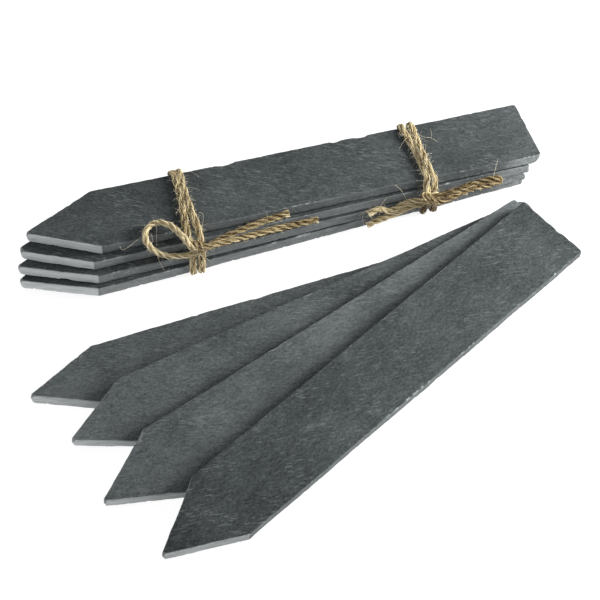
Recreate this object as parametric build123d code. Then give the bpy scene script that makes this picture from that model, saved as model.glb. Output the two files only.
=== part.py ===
from build123d import *
import math
import os
from collections import namedtuple
from itertools import combinations

import numpy as np

# Slate plant label stakes as they are sold: four tied in a bundle by two half bows of jute twine,
# and four more fanned out loose in front of it.
# Millimetres. +Z is up, +X runs along the bundle from the points to the square ends, and the fan
# lies on the -Y side, which is called near here. The origin is under the middle of the whole set.

# Stakes, split from slate and cut to a point; the length runs to where the two tip cuts would meet
STAKE_LENGTH = 203.0
STAKE_WIDTH = 30.0
STAKE_THICKNESS = 4.2
NOSE_CUT = 1.0
ARRIS_CHAMFER = 0.7

# How the stakes lie on each other; a fanned stake is pressed down by the next one on its near side
STACK_GAP = 0.2
REST_GAP = 0.2
PRESSED_SHARE = 0.6
SETTLING_ROUNDS = 4

# Jute twine, its path round the bundle and the knot that closes it
TWINE_DIAMETER = 2.5
TWINE_GAP = 0.25
TWINE_FLAT = 0.5
TWINE_BEND = 2.5
STRAND_SPACING = 4.2
KNOT_LENGTH = 6.6
KNOT_CORE_RADIUS = 2.2
KNOT_END_RADIUS = 2.0
KNOT_STANDOFF = 2.95
KNOT_ANCHOR = 1.2
KNOT_CROSSING = 3.0

Chip = namedtuple("Chip", "edge share radius bite side")
Stake = namedtuple("Stake", "name along across yaw near_tip far_tip chips")
Tie = namedtuple("Tie", "name along knot_drop knot_shift loop tail_upper tail_lower")

# A chip's place is an edge, a share of its length and the upper or lower arris there
EDGES = ("near_tip", "near", "end", "far", "far_tip")
TOP, UNDER = 1, -1

# The bundle from its top down. Places are from the top stake's middle, yaw turns to the far side,
# and the two tip cuts of a hand-cut point differ a little in length.
TIED = [
    Stake("tied_stake_1", 0.0, 0.0, 0.0, 26.8, 28.9, [
        Chip("end", 0.05, 9.0, 3.0, UNDER),
        Chip("far", 0.36, 9.0, 1.1, TOP),
        Chip("far", 0.71, 12.0, 1.0, TOP),
        Chip("far_tip", 0.45, 8.0, 1.1, TOP),
    ]),
    Stake("tied_stake_2", -4.4, -1.9, 1.0, 27.0, 28.0, [
        Chip("end", 0.08, 6.0, 1.3, TOP),
        Chip("near", 0.86, 14.0, 1.1, UNDER),
    ]),
    Stake("tied_stake_3", -5.6, -3.5, 2.4, 28.4, 28.0, [
        Chip("end", 0.04, 7.0, 2.0, TOP),
        Chip("near_tip", 0.60, 9.0, 1.0, UNDER),
    ]),
    Stake("tied_stake_4", -6.0, -4.1, 3.8, 27.5, 28.0, [
        Chip("end", 0.06, 6.0, 2.0, TOP),
        Chip("near", 0.47, 12.0, 1.1, TOP),
    ]),
]

# The fan from its back and bottom stake to its front and top one
LOOSE = [
    Stake("loose_stake_4", -13.8, -57.3, 5.0, 28.4, 28.5, [
        Chip("far", 0.62, 12.0, 1.1, TOP),
        Chip("far_tip", 0.55, 8.0, 1.0, TOP),
    ]),
    Stake("loose_stake_3", -6.4, -68.3, 13.2, 28.2, 26.9, [
        Chip("far", 0.55, 10.0, 1.0, TOP),
        Chip("far_tip", 0.40, 9.0, 1.1, TOP),
    ]),
    Stake("loose_stake_2", -5.8, -84.1, 21.2, 27.8, 28.2, [
        Chip("far", 0.66, 12.0, 1.1, TOP),
        Chip("near_tip", 0.75, 8.0, 1.0, TOP),
    ]),
    Stake("loose_stake_1", 2.9, -100.3, 28.4, 28.0, 29.1, [
        Chip("end", 0.60, 5.0, 1.4, TOP),
        Chip("end", 0.37, 4.5, 1.3, TOP),
        Chip("far", 0.44, 12.0, 1.0, TOP),
        Chip("far_tip", 0.50, 9.0, 1.1, TOP),
    ]),
]

# The ties, with the routes of their loose twine from the middle of the knot
TIES = [
    Tie(
        "left_tie", -39.4, 0.33, 0.7,
        loop=[
            (-3.0, -1.8, 0.8), (-4.9, 1.8, 3.6), (-6.8, 5.3, 5.5), (-9.8, 9.6, 6.2), (-13.7, 12.0, 5.8),
            (-17.4, 10.2, 5.7), (-19.6, 6.5, 5.4), (-19.0, 3.5, 2.8), (-16.1, 1.8, -0.2), (-12.3, 0.3, -1.9),
            (-8.1, -0.2, -2.4), (-5.0, -0.6, -2.5), (-3.0, -0.6, -2.2),
        ],
        tail_upper=[
            (2.8, 1.2, -0.7), (6.2, 2.0, -1.0), (12.3, 3.2, -0.3), (19.0, 3.9, 0.7), (25.2, 4.6, 1.4),
            (31.4, 5.4, 1.7), (37.0, 5.7, 2.1),
        ],
        tail_lower=[
            (2.8, -1.6, 0.1), (5.9, -0.9, -0.4), (12.5, 0.6, -0.9), (21.5, 2.4, -2.1), (30.8, 3.6, -2.8),
            (39.6, 3.8, -2.9), (48.0, 4.0, -2.9),
        ],
    ),
    Tie(
        "right_tie", 55.5, 0.365, -1.1,
        loop=[
            (2.8, -0.6, 1.4), (7.9, 0.1, 0.9), (14.0, 1.3, 1.2), (20.2, 2.0, 1.4), (25.9, 2.4, 1.5),
            (29.8, 2.4, 1.4), (31.2, 2.3, 0.0), (31.2, 2.2, -2.0), (29.8, 2.1, -3.4), (25.9, 2.1, -3.5),
            (20.6, 2.0, -3.3), (15.0, 1.3, -3.2), (9.5, 0.0, -3.0), (6.2, -1.2, -2.3), (3.2, -2.2, -1.4),
        ],
        tail_upper=[
            (-2.8, -2.0, 0.2), (-6.0, 0.2, -0.6), (-9.9, 2.2, -3.0), (-14.0, 2.2, -4.8), (-17.8, 2.0, -4.4),
            (-20.6, 2.2, -1.7), (-23.5, 2.0, -0.7), (-26.5, 1.6, -2.1),
        ],
        tail_lower=[
            (-2.8, -0.5, -2.4), (-6.0, 1.0, -4.0), (-10.2, 1.8, -6.0), (-14.5, 1.8, -7.6), (-19.0, 1.8, -8.0),
            (-23.5, 1.7, -8.6), (-27.3, 1.4, -9.4),
        ],
    ),
]


def grown(points, distance):
    """A convex outline, counter-clockwise, with every side moved out by a distance."""
    moved = []
    for index, corner in enumerate(points):
        before, here = np.array(points[index - 1]), np.array(corner)
        after = np.array(points[(index + 1) % len(points)])
        along_in = (here - before) / np.linalg.norm(here - before)
        along_out = (after - here) / np.linalg.norm(after - here)
        out_in = np.array([along_in[1], -along_in[0]])
        out_out = np.array([along_out[1], -along_out[0]])
        shift = (out_in + out_out) * distance / (1 + out_in @ out_out)
        moved.append(tuple(here + shift))
    return moved


def side_of(start, end, point):
    """Positive where a point is left of the line from start to end."""
    return (end[0] - start[0]) * (point[1] - start[1]) - (end[1] - start[1]) * (point[0] - start[0])


def convex_hull(points):
    """Corners of the hull, counter-clockwise, without those that hardly leave a straight side."""
    def chain(ordered):
        kept = []
        for point in ordered:
            while len(kept) > 1 and side_of(kept[-2], kept[-1], point) <= 0:
                kept.pop()
            kept.append(point)
        return kept[:-1]

    ordered = sorted(points)
    hull = chain(ordered) + chain(ordered[::-1])
    neighbours = zip(hull[-1:] + hull[:-1], hull, hull[1:] + hull[:1])
    straight = TWINE_GAP / 5
    return [here for before, here, after in neighbours
            if side_of(before, here, after) > straight * math.dist(before, after)]


def overlap(first, second):
    """The outline that two convex outlines share in plan, empty where they lie apart."""
    shared = [np.array(point) for point in first]
    for index, start in enumerate(second):
        end = second[(index + 1) % len(second)]
        source, shared = shared, []
        for place, point in enumerate(source):
            before = source[place - 1]
            was, now = side_of(start, end, before), side_of(start, end, point)
            if (was >= 0) != (now >= 0):
                shared.append(before + (point - before) * was / (was - now))
            if now >= 0:
                shared.append(point)
    return shared


def outline(stake):
    """The five corners of a stake in its own plane, counter-clockwise from the point."""
    half, side = STAKE_LENGTH / 2, STAKE_WIDTH / 2
    return [
        (-half, 0),
        (-half + stake.near_tip, -side),
        (half, -side),
        (half, side),
        (-half + stake.far_tip, side),
    ]


def flat_face(stake, seat, height):
    """Corners of a stake's flat face inside the chamfers, at a height over its underside."""
    return [seat.from_local_coords((x, y, height)) for x, y in grown(outline(stake), -ARRIS_CHAMFER)]


def seat_on(stake, height, slope_x=0.0, slope_y=0.0):
    """The plane of a stake's underside from the height and the slopes at its middle."""
    yaw = math.radians(stake.yaw)
    rise = slope_x * math.cos(yaw) + slope_y * math.sin(yaw)
    return Plane(
        origin=(stake.along, stake.across, height),
        x_dir=(math.cos(yaw), math.sin(yaw), rise),
        z_dir=(-slope_x, -slope_y, 1),
    )


def lowest_plane(supports, pressed):
    """Height and slopes of the plane on three supports that clears the rest, lowest at one point."""
    spots = np.array(supports)
    terms = np.column_stack([np.ones(len(spots)), spots[:, :2]])
    least_area, touch = 1e-3, 1e-6
    best, best_height = None, math.inf
    for trio in combinations(range(len(spots)), 3):
        corners = terms[list(trio)]
        if abs(np.linalg.det(corners)) < least_area:
            continue
        plane = np.linalg.solve(corners, spots[list(trio), 2])
        height = plane @ np.array([1, pressed.X, pressed.Y])
        if height < best_height and (terms @ plane - spots[:, 2]).min() > -touch:
            best, best_height = plane, height
    return best


def settled(stake, below):
    """The underside of a loose stake let down on the floor and on the stakes already lying there."""
    seat = seat_on(stake, 0)
    for _ in range(SETTLING_ROUNDS):
        own = flat_face(stake, seat, 0)
        pressed = seat.from_local_coords((0, -PRESSED_SHARE * STAKE_WIDTH / 2, 0))
        supports = [(corner.X, corner.Y, 0.0) for corner in own]
        for other, other_seat in below:
            face = flat_face(other, other_seat, STAKE_THICKNESS)
            lift, up = face[0], other_seat.z_dir
            for x, y in overlap([(p.X, p.Y) for p in own], [(p.X, p.Y) for p in face]):
                height = lift.Z - ((x - lift.X) * up.X + (y - lift.Y) * up.Y) / up.Z
                supports.append((x, y, height + REST_GAP))
        height, slope_x, slope_y = lowest_plane(supports, pressed)
        middle = height + slope_x * stake.along + slope_y * stake.across
        seat = seat_on(stake, middle, slope_x, slope_y)
    return seat


def chip_cutter(stake, chip):
    """The ball whose surface leaves a shell-shaped scar on an arris."""
    corners = outline(stake)
    index = EDGES.index(chip.edge)
    start, end = Vector(corners[index]), Vector(corners[(index + 1) % len(corners)])
    run = (end - start).normalized()
    height = STAKE_THICKNESS if chip.side == TOP else 0
    arris = start + (end - start) * chip.share + Vector(0, 0, height)
    outward = Vector(run.Y, -run.X, chip.side).normalized()
    return Pos(arris + outward * (chip.radius - chip.bite)) * Sphere(chip.radius)


def stake_solid(stake):
    """A pointed slab with dressed arrises, a blunt nose and its chips, lying in its own plane."""
    slab = extrude(make_face(Polyline(*outline(stake), close=True)), STAKE_THICKNESS)
    faces = slab.faces().sort_by(Axis.Z)
    slab = chamfer(faces[0].edges() + faces[-1].edges(), ARRIS_CHAMFER)
    nose = Pos(-STAKE_LENGTH / 2, 0, 0) * Box(2 * NOSE_CUT, STAKE_WIDTH, 4 * STAKE_THICKNESS)
    return slab - [nose] - [chip_cutter(stake, chip) for chip in stake.chips]


def tied_height(level):
    """Height of a tied stake's underside; level 0 is the top of the bundle."""
    twine_under = TWINE_DIAMETER - TWINE_FLAT + TWINE_GAP
    return twine_under + (len(TIED) - 1 - level) * (STAKE_THICKNESS + STACK_GAP)


def stack_section(along):
    """Corners of the bundle's section, as (across, height), where a tie goes round it."""
    corners = []
    for level, stake in enumerate(TIED):
        yaw = math.radians(stake.yaw)
        middle = stake.across + (along - stake.along) * math.tan(yaw)
        reach = STAKE_WIDTH / 2 / math.cos(yaw)
        for side in (-reach, reach):
            corners.append((middle + side, tied_height(level)))
            corners.append((middle + side, tied_height(level) + STAKE_THICKNESS))
    return corners


def over_the_top(hull):
    """A hull's corners from the near top one, over the top, down the far side and up the near side."""
    turned = hull[::-1]
    highest = max(height for _, height in turned)
    first = min((point for point in turned if highest - point[1] < TWINE_GAP), key=lambda point: point[0])
    start = turned.index(first)
    return turned[start:] + turned[:start]


def near_bottom(ring):
    """Where the twine turns up the near side, as an index into the ring."""
    lowest = min(height for _, height in ring)
    return max(index for index, point in enumerate(ring) if point[1] - lowest < TWINE_GAP)


def spread(route, start, end):
    """Give a route in (across, height) its places along the bundle, evenly from start to end."""
    lengths = [0.0]
    for before, here in zip(route, route[1:]):
        lengths.append(lengths[-1] + math.dist(before, here))
    return [(start + (end - start) * done / lengths[-1], *point) for done, point in zip(lengths, route)]


def knot_frame(tie, ring):
    """Where the knot sits on the near side, the way down there and the way out, as (across, height)."""
    bottom = near_bottom(ring)
    near_side = [ring[0]] + ring[:bottom - 1:-1]
    top, low = near_side[0][1], near_side[-1][1]
    level = top - tie.knot_drop * (top - low)
    for above, below in zip(near_side, near_side[1:]):
        if below[1] <= level:
            break
    down = (np.array(below) - np.array(above)) / math.dist(above, below)
    foot = np.array(above) + down * (above[1] - level) / -down[1]
    return foot, down, np.array([down[1], -down[0]])


def behind_knot(ring, foot, first, second):
    """Up the near side: in the first turn's place below the knot, in the second's above it."""
    side = ring[near_bottom(ring):] + [ring[0]]
    across, heights = zip(*side)
    crossing = [foot[1] - KNOT_CROSSING, foot[1] + KNOT_CROSSING]
    between = [stop for stop in crossing if min(abs(stop - height) for height in heights) > TWINE_GAP]
    stops = sorted([*heights, *between])
    places = np.interp(stops, crossing, [first, second])
    return [(along, np.interp(stop, heights, across), stop) for along, stop in zip(places, stops)]


def winding_route(tie, ring, foot, down, middle):
    """Two turns from the knot's upper side, round the bundle and behind the knot, to its lower side."""
    first, second = tie.along - STRAND_SPACING / 2, tie.along + STRAND_SPACING / 2
    knot = tie.along + tie.knot_shift
    upper, lower = tuple(middle - down * KNOT_ANCHOR), tuple(middle + down * KNOT_ANCHOR)
    bottom = near_bottom(ring)
    round_it = ring[:bottom + 1]
    up_hull = over_the_top(convex_hull(ring + [upper]))
    rising = up_hull[up_hull.index(upper):] + [ring[0]]
    low_hull = over_the_top(convex_hull(ring + [lower]))
    falling = low_hull[near_bottom(low_hull):low_hull.index(lower) + 1]
    return (
        spread(rising, knot - KNOT_ANCHOR, first)[:-1]
        + [(first, *point) for point in round_it[:-1]]
        + behind_knot(ring, foot, first, second)[:-1]
        + [(second, *point) for point in round_it[:-1]]
        + spread(falling, second, knot + KNOT_ANCHOR)
    )


def half_turns(route):
    """Half the angle that a route turns by at each of its inner points."""
    halves = []
    for before, here, after in zip(route, route[1:], route[2:]):
        run_in, run_out = Vector(here) - Vector(before), Vector(after) - Vector(here)
        halves.append(math.radians(run_in.get_angle(run_out)) / 2)
    return halves


def roomy_radii(route):
    """At each inner point the radius that uses most of the shorter run beside it."""
    radii = []
    for index, half in enumerate(half_turns(route)):
        shorter = min(math.dist(*route[index:index + 2]), math.dist(*route[index + 1:index + 3]))
        radii.append(0.45 * shorter / math.tan(half))
    return radii


def tight_radii(route):
    """Radii of twine pulled round arrises: one bend size, and wider only where that stays clear."""
    radii = []
    for half, roomy in zip(half_turns(route), roomy_radii(route)):
        clear = TWINE_GAP / 2 / (1 / math.cos(half) - 1)
        radii.append(min(roomy, max(TWINE_BEND, clear)))
    return radii


def twine(name, route, radii):
    """One stretch of twine along straight runs and tangent arcs."""
    path = FilletPolyline(*route, radius=radii)
    section = Plane(origin=path @ 0, z_dir=path % 0) * Circle(TWINE_DIAMETER / 2)
    tube = sweep(section, path=path)
    expected = math.pi * TWINE_DIAMETER ** 2 / 4 * path.length
    print(f"{name}: {path.length:.1f} mm long, volume {tube.volume / expected:.4f} of section times length")
    print("  radii", [round(radius, 1) for radius in radii])
    return tube, path


def least_gap(path):
    """The closest that a winding comes to itself, between points more than a few diameters apart."""
    count = int(path.length / (TWINE_DIAMETER / 5))
    points = np.array([tuple(path @ (index / count)) for index in range(count + 1)])
    apart = np.linalg.norm(points[:, None] - points[None], axis=2)
    steps = np.abs(np.subtract.outer(np.arange(count + 1), np.arange(count + 1)))
    return apart[steps * path.length / count > 4 * TWINE_DIAMETER].min() - TWINE_DIAMETER


def knot_lump(place):
    """The drawn-up knot: two wraps side by side on a core that the loop and the ends come out of."""
    wrap, half = TWINE_DIAMETER / 2, KNOT_LENGTH / 2
    core, crest = KNOT_CORE_RADIUS, KNOT_CORE_RADIUS + TWINE_DIAMETER / 4
    profile = Polyline((-half, 0), (-half, KNOT_END_RADIUS), (-TWINE_DIAMETER, core))
    profile += ThreePointArc((-TWINE_DIAMETER, core), (-wrap, crest), (0, core))
    profile += ThreePointArc((0, core), (wrap, crest), (TWINE_DIAMETER, core))
    profile += Polyline((TWINE_DIAMETER, core), (half, KNOT_END_RADIUS), (half, 0), (-half, 0))
    return Pos(*place) * revolve(make_face(profile), Axis.X)


def build_tie(tie):
    """All twine nodes of one tie: winding, knot, loop and the two cut ends."""
    ring = over_the_top(grown(convex_hull(stack_section(tie.along)), TWINE_DIAMETER / 2 + TWINE_GAP))
    foot, down, out = knot_frame(tie, ring)
    middle = foot + out * KNOT_STANDOFF
    route = winding_route(tie, ring, foot, down, middle)
    winding, path = twine(tie.name + "_winding", route, tight_radii(route))
    print(f"  least gap to itself {least_gap(path):.2f} mm")
    below_floor = Pos(tie.along, 0, -TWINE_DIAMETER) * Box(
        8 * STRAND_SPACING, 4 * STAKE_WIDTH, 2 * TWINE_DIAMETER)
    nodes = {tie.name + "_winding": winding - below_floor}
    knot_at = (tie.along + tie.knot_shift, *middle)
    print("  knot at", [round(float(value), 2) for value in knot_at])
    for part_name in ("loop", "tail_upper", "tail_lower"):
        points = [tuple(np.add(knot_at, offset)) for offset in getattr(tie, part_name)]
        nodes[tie.name + "_" + part_name], _ = twine(tie.name + "_" + part_name, points, roomy_radii(points))
    nodes[tie.name + "_knot"] = knot_lump(knot_at) - list(nodes.values())
    return nodes


def build_stakes():
    """Every stake in its place, and the planes of their undersides."""
    nodes, seats = {}, {}
    for level, stake in enumerate(TIED):
        seats[stake.name] = seat_on(stake, tied_height(level))
    below = []
    for stake in LOOSE:
        seats[stake.name] = settled(stake, below)
        below.append((stake, seats[stake.name]))
    for stake in TIED + LOOSE:
        nodes[stake.name] = seats[stake.name] * stake_solid(stake)
    return nodes, seats


def main():
    nodes, seats = build_stakes()
    free_twine = []
    for tie in TIES:
        tie_nodes = build_tie(tie)
        free_twine += [name for name in tie_nodes if "loop" in name or "tail" in name]
        nodes.update(tie_nodes)

    # Set the origin under the middle of all that isn't loose twine
    boxes = [solid.bounding_box() for name, solid in nodes.items() if name not in free_twine]
    low_x, high_x = min(box.min.X for box in boxes), max(box.max.X for box in boxes)
    low_y, high_y = min(box.min.Y for box in boxes), max(box.max.Y for box in boxes)
    origin = Vector((low_x + high_x) / 2, (low_y + high_y) / 2, 0)
    print("origin from the top tied stake's middle", origin, "size", high_x - low_x, high_y - low_y)

    os.makedirs("parts", exist_ok=True)
    for name, solid in nodes.items():
        export_step(Pos(-origin) * solid, f"parts/{name}.step")
    for name, seat in seats.items():
        place = seat.origin - origin
        print(name, "underside", place, "along", seat.x_dir, "normal", seat.z_dir)


main()
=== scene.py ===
# %% [markdown]
# # Slate plant label stakes, tied and fanned
# Eight flat stakes of split slate: four tied in a bundle with jute twine, four fanned out in front of it.
# The solid model arrives as a fixed frame. This lesson measures that frame and dresses every piece of it:
# the stakes get their riven faces and flaked edges, and the twine gets its plies, yarns and loose fibres.

import math
import random
from collections import namedtuple

import bpy
from mathutils import Matrix, Vector, geometry


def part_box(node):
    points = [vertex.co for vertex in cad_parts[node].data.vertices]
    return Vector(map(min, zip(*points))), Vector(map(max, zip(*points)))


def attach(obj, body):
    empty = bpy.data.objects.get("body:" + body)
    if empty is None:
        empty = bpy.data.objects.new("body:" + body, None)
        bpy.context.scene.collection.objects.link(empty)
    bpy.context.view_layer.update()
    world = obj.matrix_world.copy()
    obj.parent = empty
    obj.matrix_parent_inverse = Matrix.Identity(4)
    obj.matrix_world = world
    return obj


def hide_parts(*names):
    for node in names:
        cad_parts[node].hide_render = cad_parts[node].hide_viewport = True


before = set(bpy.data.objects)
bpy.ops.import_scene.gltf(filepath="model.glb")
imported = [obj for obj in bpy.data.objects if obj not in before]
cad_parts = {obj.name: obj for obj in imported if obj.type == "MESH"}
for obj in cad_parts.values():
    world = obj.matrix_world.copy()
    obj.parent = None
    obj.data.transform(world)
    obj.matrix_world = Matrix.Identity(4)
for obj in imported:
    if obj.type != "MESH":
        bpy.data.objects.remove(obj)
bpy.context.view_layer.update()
MM = 0.001


# %% [markdown]
# ## The camera
# The view is a long lens from above and a little to the left. A real lens length could be guessed and the
# distance nudged until the picture fits. It is surer to measure where known corners of the stakes lie in the
# picture and solve for the camera, and these are the numbers of that solution.

# %% Set the camera
PICTURE_SIDE = 600
FOCAL_PIXELS = 2297.1
SENSOR_WIDTH = 36.0
VIEW_AZIMUTH = math.radians(-16.425)
VIEW_ELEVATION = math.radians(47.66)
VIEW_DISTANCE = 873.2 * MM
VIEW_TARGET = Vector((0.494, 20.471, 0.0)) * MM
CLIP_START = 50.0 * MM


def set_camera():
    """Place the camera on its sphere round the target, level, looking at it."""
    right = Vector((math.cos(VIEW_AZIMUTH), math.sin(VIEW_AZIMUTH), 0))
    ahead = Vector((-math.sin(VIEW_AZIMUTH), math.cos(VIEW_AZIMUTH), 0))
    back = Vector((0, 0, math.sin(VIEW_ELEVATION))) - ahead * math.cos(VIEW_ELEVATION)
    axes = Matrix((right, back.cross(right), back)).transposed()
    lens = bpy.data.cameras.new("camera")
    lens.sensor_width = SENSOR_WIDTH
    lens.lens = FOCAL_PIXELS / PICTURE_SIDE * SENSOR_WIDTH
    lens.clip_start = CLIP_START
    camera = bpy.data.objects.new("camera", lens)
    camera.matrix_world = Matrix.Translation(VIEW_TARGET + back * VIEW_DISTANCE) @ axes.to_4x4()
    bpy.context.scene.collection.objects.link(camera)
    bpy.context.scene.camera = camera
    return camera


print("lens", round(set_camera().data.lens, 1), "mm")


# %% [markdown]
# ## Arithmetic with nodes
# Both the shapes and the finishes are node trees made by this script. A tree of sums wired one node at a time
# is hard to read, so a small class lets a socket be used in plain arithmetic, and each step adds a Math node.

# %% Helpers that build node trees
def plug(tree, socket, value):
    """Feed a socket from a field, from another socket or with a plain value."""
    if isinstance(value, Field):
        tree.links.new(value.socket, socket)
    elif isinstance(value, bpy.types.NodeSocket):
        tree.links.new(value, socket)
    else:
        socket.default_value = value


def add_node(tree, kind, inputs=None, **settings):
    """Add a node, make its settings and feed its inputs by name or number."""
    made = tree.nodes.new(kind)
    for name, value in settings.items():
        setattr(made, name, value)
    for key, value in (inputs or {}).items():
        plug(tree, made.inputs[key], value)
    return made


def result(tree, kind, inputs=None, **settings):
    """The first output of a new node."""
    return add_node(tree, kind, inputs, **settings).outputs[0]


class Field:
    """A number in a node tree that plain arithmetic can use."""

    def __init__(self, tree, socket):
        self.tree = tree
        self.socket = socket

    def math(self, operation, *others):
        """One Math node on this number and the others."""
        numbers = dict(enumerate((self, *others)))
        return Field(self.tree, result(self.tree, "ShaderNodeMath", numbers, operation=operation))

    def __add__(self, other):
        return self.math("ADD", other)

    def __sub__(self, other):
        return self.math("SUBTRACT", other)

    def __mul__(self, other):
        return self.math("MULTIPLY", other)

    def __truediv__(self, other):
        return self.math("DIVIDE", other)

    def __rsub__(self, other):
        return self.math("MULTIPLY_ADD", -1.0, other)

    __radd__ = __add__
    __rmul__ = __mul__

    def sine(self):
        return self.math("SINE")

    def cosine(self):
        return self.math("COSINE")

    def least(self, other):
        return self.math("MINIMUM", other)

    def most(self, other):
        return self.math("MAXIMUM", other)

    def over(self, other):
        return self.math("GREATER_THAN", other)

    def under(self, other):
        return self.math("LESS_THAN", other)

    def ramp(self, low, high):
        """0 below low, 1 above high, eased between."""
        span = {"Value": self, "From Min": low, "From Max": high}
        eased = result(self.tree, "ShaderNodeMapRange", span, interpolation_type="SMOOTHSTEP")
        return Field(self.tree, eased)


def split(tree, vector):
    """The three parts of a vector as fields."""
    made = add_node(tree, "ShaderNodeSeparateXYZ", {0: vector})
    return [Field(tree, output) for output in made.outputs]


def joined(tree, x, y, z=0.0):
    """A vector from three fields or numbers."""
    return result(tree, "ShaderNodeCombineXYZ", {0: x, 1: y, 2: z})


def noise(tree, vector, seed=0.0, scale=1.0, detail=2.0, roughness=0.5):
    """Smooth noise from 0 to 1; the seed picks another pattern."""
    return Field(tree, result(tree, "ShaderNodeTexNoise", {
        "Vector": vector, "W": seed, "Scale": scale, "Detail": detail, "Roughness": roughness,
    }, noise_dimensions="4D"))


def streaked(tree, parts, scales):
    """A place with each part at its own scale, so that noise on it runs in streaks."""
    return joined(tree, *(part * scale for part, scale in zip(parts, scales)))


def vector_math(tree, operation, inputs, output="Vector"):
    """One step of arithmetic with whole vectors."""
    return add_node(tree, "ShaderNodeVectorMath", inputs, operation=operation).outputs[output]


# %% [markdown]
# ## Trees that make shapes
# A Geometry Nodes tree is often left on a live modifier. Here every tree gets its sizes through named inputs,
# runs once on an empty carrier, and what it makes is kept as a plain mesh, because a plain mesh can be moved
# and exported like any other piece.

# %% Helpers that run trees
SOCKETS = {
    "number": "NodeSocketFloat",
    "count": "NodeSocketInt",
    "object": "NodeSocketObject",
    "material": "NodeSocketMaterial",
}


def new_tree(name, inputs):
    """A Geometry Nodes tree with named inputs, given back as fields by name."""
    tree = bpy.data.node_groups.new(name, "GeometryNodeTree")
    tree.interface.new_socket("Geometry", in_out="OUTPUT", socket_type="NodeSocketGeometry")
    for label, kind in inputs.items():
        tree.interface.new_socket(label, in_out="INPUT", socket_type=SOCKETS[kind])
    start = tree.nodes.new("NodeGroupInput")
    return tree, {label: Field(tree, start.outputs[label]) for label in inputs}


def end_tree(tree, shape, material):
    """Make all copies real, give them their material and wire the result to the output."""
    real = result(tree, "GeometryNodeRealizeInstances", {0: shape})
    dressed = result(tree, "GeometryNodeSetMaterial", {0: real, "Material": material})
    add_node(tree, "NodeGroupOutput", {0: dressed})


def with_number(tree, shape, name, value):
    """Store a number on every point of a shape under a name that finishes can read."""
    return result(tree, "GeometryNodeStoreNamedAttribute",
                  {"Geometry": shape, "Name": name, "Value": value}, domain="POINT")


def here(tree):
    """The place of every point."""
    return result(tree, "GeometryNodeInputPosition")


def shape_of(tree, carrier):
    """The shape of an object that the tree was given."""
    return add_node(tree, "GeometryNodeObjectInfo", {"Object": carrier}).outputs["Geometry"]


def stored(tree, name):
    """A number that was stored on the points of a shape."""
    return Field(tree, result(tree, "GeometryNodeInputNamedAttribute", {"Name": name}))


def grown_mesh(name, tree, values):
    """Run a tree on an empty carrier and keep the result as a plain mesh."""
    carrier = bpy.data.objects.new(name + "_carrier", bpy.data.meshes.new(name + "_carrier"))
    bpy.context.scene.collection.objects.link(carrier)
    modifier = carrier.modifiers.new("nodes", "NODES")
    modifier.node_group = tree
    for item in tree.interface.items_tree:
        if item.in_out == "INPUT":
            modifier[item.identifier] = values[item.name]
    ready = bpy.context.evaluated_depsgraph_get()
    mesh = bpy.data.meshes.new_from_object(carrier.evaluated_get(ready), depsgraph=ready)
    mesh.name = name
    bpy.data.objects.remove(carrier)
    return mesh


def shown(name, mesh):
    """Link a finished mesh as an object at the origin."""
    piece = bpy.data.objects.new(name, mesh)
    bpy.context.scene.collection.objects.link(piece)
    return piece


# %% [markdown]
# ## Finish: jute twine
# Jute is a coarse straw-coloured bast fibre. Its yarns differ in tone, the outside is bleached, and the gaps
# between the plies are browner and carry painted shade down to near black. One pattern over all of it would
# miss that, so the shape step leaves three numbers on the mesh: a tone for each yarn, how far out in the
# twine a point lies, and how much painted shade its stretch carries, which is painted light below zero.

# %% Make the jute finish
# The darkest stop, for points deep in the twine, is painted shade in the gaps between the plies and yarns
JUTE_GAP_SHADE = (0.026, 0.016, 0.006, 1)
JUTE_BROWN = (0.16, 0.105, 0.042, 1)
JUTE_STRAW = (0.525, 0.425, 0.232, 1)
JUTE_PALE = (0.64, 0.56, 0.362, 1)
JUTE_BLEACHED = (0.75, 0.70, 0.585, 1)
JUTE_STOPS = [
    (0.08, JUTE_GAP_SHADE), (0.3, JUTE_BROWN), (0.54, JUTE_STRAW), (0.8, JUTE_PALE), (1.0, JUTE_BLEACHED),
]
OUTSIDE_WEIGHT = 0.62
YARN_TONES = (0.25, 0.75)
YARN_TONE_WEIGHT = 0.3
BLOTCH_WEIGHT = 0.22
FIBRE_WEIGHT = 0.32
JUTE_DARKENING = 0.285
JUTE_ROUGHNESS = 0.78
JUTE_GLOSS = 0.25
FIBRE_BUMP = 0.35
FIBRE_RELIEF = 0.06 * MM


def colour_ramp(tree, value, stops):
    """A colour ramp with the given places and colours."""
    made = add_node(tree, "ShaderNodeValToRGB", {0: value})
    elements = made.color_ramp.elements
    while len(elements) < len(stops):
        elements.new(1.0)
    for element, (place, colour) in zip(elements, stops):
        element.position = place
        element.color = colour
    return made.outputs[0]


def attribute(tree, name):
    """A number that the shape step left on the mesh."""
    return Field(tree, add_node(tree, "ShaderNodeAttribute", attribute_name=name).outputs["Fac"])


def new_material(name):
    """An empty surface material with its shader."""
    material = bpy.data.materials.new(name)
    material.use_nodes = True
    tree = material.node_tree
    return material, tree, tree.nodes["Principled BSDF"]


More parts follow.
